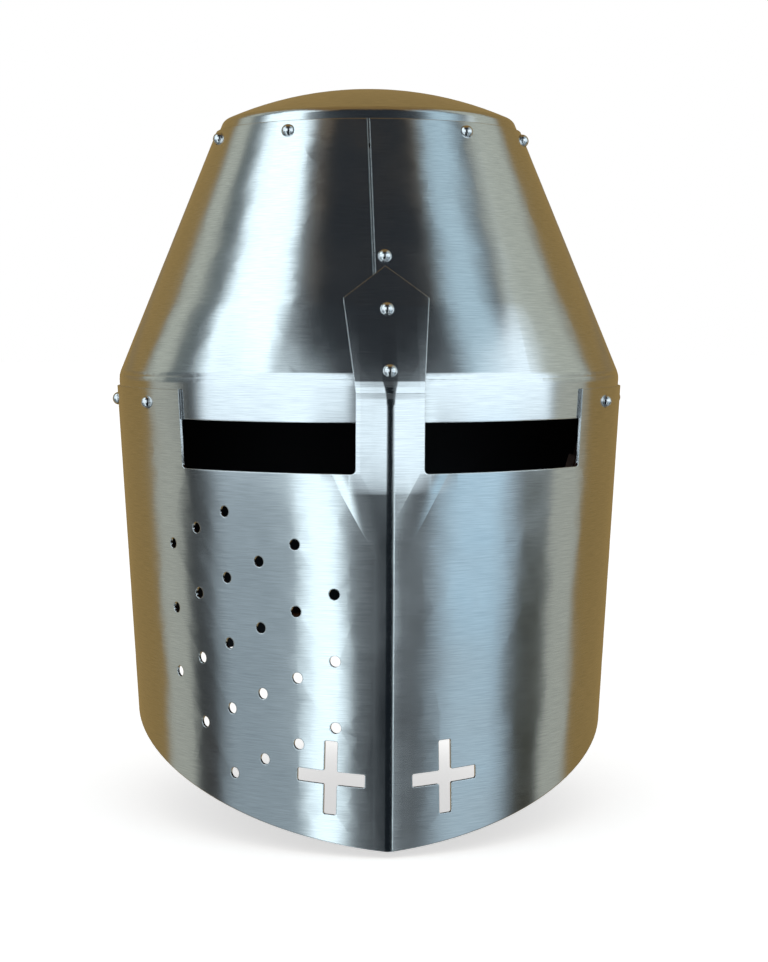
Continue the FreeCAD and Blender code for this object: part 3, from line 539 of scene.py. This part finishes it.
def thread(name, hex_light, hex_dark):
    """Waxed linen thread of three plies: a slanting twist a third of a millimetre apart."""
    ply_gap = 0.33 * mm
    material = bpy.data.materials.new(name)
    material.use_nodes = True
    tree = material.node_tree
    shader = tree.nodes["Principled BSDF"]
    shader.inputs["Sheen Weight"].default_value = 0.2
    shader.inputs["Roughness"].default_value = 0.7
    place = add_node(tree, "ShaderNodeTexCoord").outputs["Object"]
    plies = add_node(tree, "ShaderNodeTexWave", {"bands_direction": "DIAGONAL"},
                     {"Vector": place, "Scale": 0.05 / ply_gap, "Distortion": 1.0})
    tone = add_node(tree, "ShaderNodeMix", {"data_type": "RGBA"}, {0: plies.outputs["Fac"],
                                                                 6: linear(hex_dark), 7: linear(hex_light)})
    tree.links.new(tone.outputs[2], shader.inputs["Base Color"])
    twist = add_node(tree, "ShaderNodeBump", inputs={"Strength": 0.5, "Distance": 0.1 * mm,
                                                   "Height": plies.outputs["Fac"]})
    tree.links.new(twist.outputs[0], shader.inputs["Normal"])
    return material


def nearest_hit(pieces, start, direction):
    """Where a line first meets any of the pieces: the point and its normal."""
    hits = []
    for piece in pieces:
        found, point, normal, face = piece.ray_cast(start, direction)
        if found:
            hits.append(((point - start).length, point, normal))
    return min(hits, key=lambda hit: hit[0])[1:] if hits else None


places = []
bearing_now = 0.0
while bearing_now < 2 * math.pi:
    direction = Vector((math.sin(bearing_now), -math.cos(bearing_now), 0))
    hit = nearest_hit(tongues, Vector((0, 0, stitch_height)), direction)
    distance = hit[0].xy.length if hit else waist_radius
    if hit:
        places.append((hit[0], hit[1], Vector((direction.y, -direction.x, 0))))
    bearing_now += stitch_gap / distance
linen = thread("waxed linen thread", "c4b08a", "8f7c58")
seam = sew("liner_seam", one_stitch(stitch_length, stitch_radius), places)
seam.data.materials.append(linen)
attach(seam, "helm")

# the lace in the tongues' hems: a round thong, drawn up and knotted
lace = own_copy("liner_lace", "liner_lace_thong")
modify(lace, "REMESH", mode="VOXEL", voxel_size=0.5 * mm, adaptivity=0.0)
modify(lace, "SMOOTH", factor=0.5, iterations=2)
bpy.ops.object.shade_smooth()
lace.data.materials.append(hide("rolled hide thong", "8a6238", "5c3c20", "a8834f", 0.5 * mm, 0.55))
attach(lace, "helm")
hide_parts("liner_lace")

# ---------------------------------------------------------------- chin strap
# Two straps of bridle leather hang from the waist's side rivets and meet under the chin in
# a roller buckle.  The buckle end is folded round the heel bar and sewn; a keeper holds
# the tongue end down.

bridle = hide("bridle leather", "4a2a16", "2c170b", "6a4022", 0.7 * mm, 0.46)
for node, name, body in (("chin_strap_buckle_end", "strap_buckle_end_leather", "chin_strap"),
                         ("chin_strap_tongue_end", "strap_tongue_end_leather", "chin_strap"),
                         ("strap_keeper", "keeper_leather", "keeper")):
    strap = soft_leather(node, name, body, 0.55 * mm, 0.12 * mm, 20 * mm)
    strap.data.materials.append(bridle)

# two rows of stitches close the fold between the keeper's lowest place and the bar; the
# middle of each row is left open, where the prong's slot is
strap_slant = math.radians(16)
bar_radius = 1.5 * mm
row_distances = (8.0 * mm, 5.2 * mm)      # up the strap from the middle of the heel bar
stitch_offsets = (-7.6 * mm, -4.4 * mm, 4.4 * mm, 7.6 * mm)
clear_of_strap = 20 * mm
run_down = Vector((-math.sin(strap_slant), 0, -math.cos(strap_slant)))
run_inward = Vector((-math.cos(strap_slant), 0, math.sin(strap_slant)))
buckle_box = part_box("buckle_frame")
heel = Vector((buckle_box[1][0] - bar_radius, 0, buckle_box[1][2] - bar_radius))
buckle_strap = bpy.data.objects["strap_buckle_end_leather"]
places = []
for from_heel in row_distances:
    for across in stitch_offsets:
        middle = heel - run_down * from_heel + Vector((0, across, 0))
        for facing in (-1, 1):
            start = middle - run_inward * facing * clear_of_strap
            found, point, normal, face = buckle_strap.ray_cast(start, run_inward * facing)
            if found:
                places.append((point, normal, Vector((0, 1, 0))))
seam = sew("strap_seam", one_stitch(2.6 * mm, 0.4 * mm), places)
seam.data.materials.append(linen)
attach(seam, "chin_strap")
